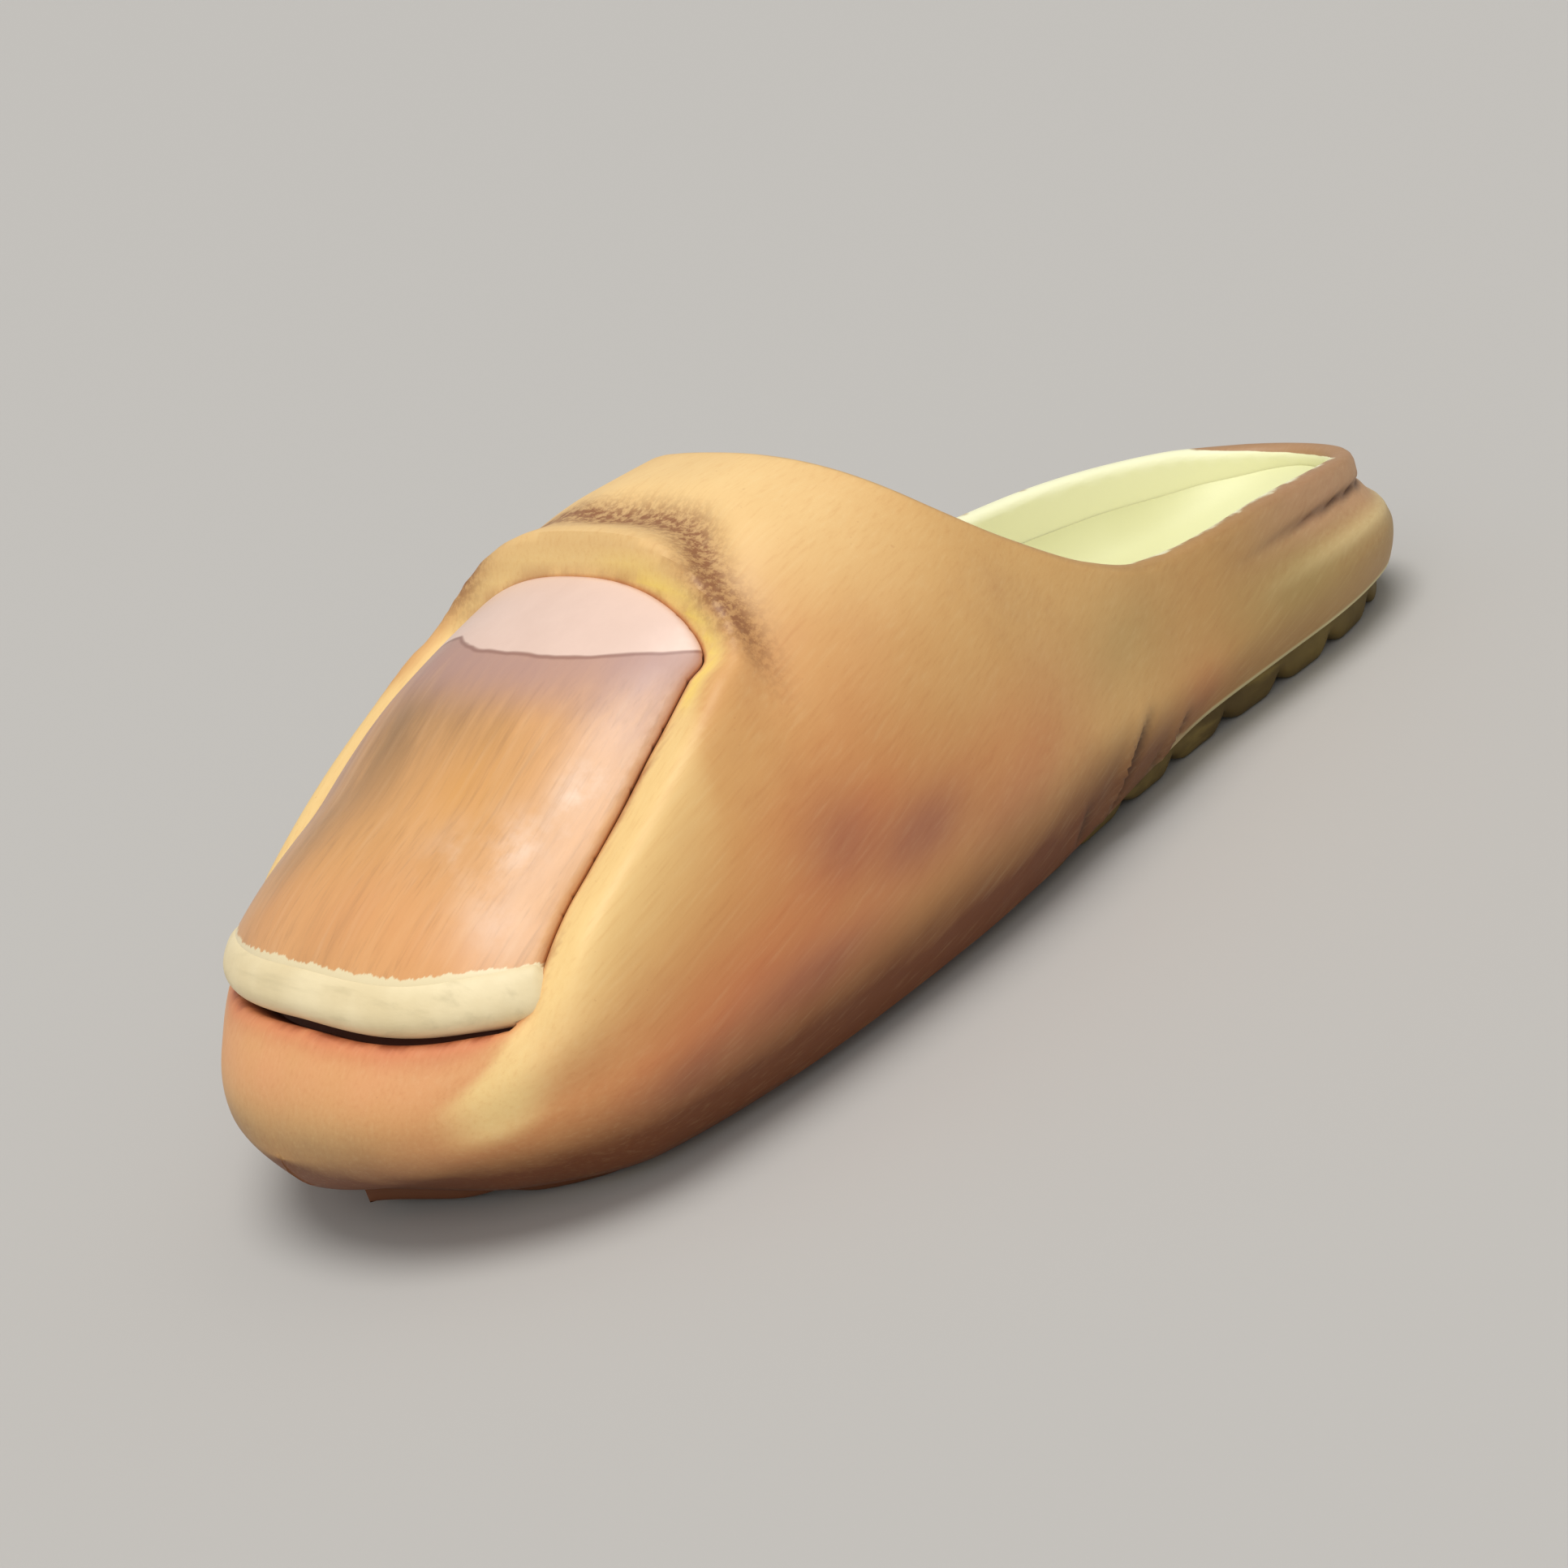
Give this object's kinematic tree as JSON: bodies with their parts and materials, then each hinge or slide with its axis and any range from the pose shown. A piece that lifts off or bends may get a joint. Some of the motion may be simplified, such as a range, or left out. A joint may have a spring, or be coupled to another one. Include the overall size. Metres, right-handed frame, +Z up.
{
  "type": "novelty slipper",
  "caption": "Slip-on foam slipper shaped like a giant big toe, with a toenail on its closed vamp, a low heel cup, a cupped footbed and a lugged sole.",
  "frame": {"origin": "on the floor under the middle of the slipper's bounding box", "axes": "+Y from the toe to the heel, +X towards the wearer's left, +Z up"},
  "size_m": [0.118, 0.29, 0.0931],
  "materials": {
    "skin_foam": "airbrushed and hand-brushed satin paint over moulded foam",
    "nail_foam": "streaky satin paint with a soft gloss",
    "nail_edge_foam": "cream satin paint with a jagged edge",
    "footbed_foam": "unpainted smooth moulded foam",
    "sole_foam": "dark brushed paint over moulded lugs"
  },
  "bodies": {
    "root": {"upper": "skin_foam", "nail_plate": "nail_foam", "nail_tip": "nail_edge_foam", "footbed": "footbed_foam", "outsole": "sole_foam"}
  },
  "joints": []
}
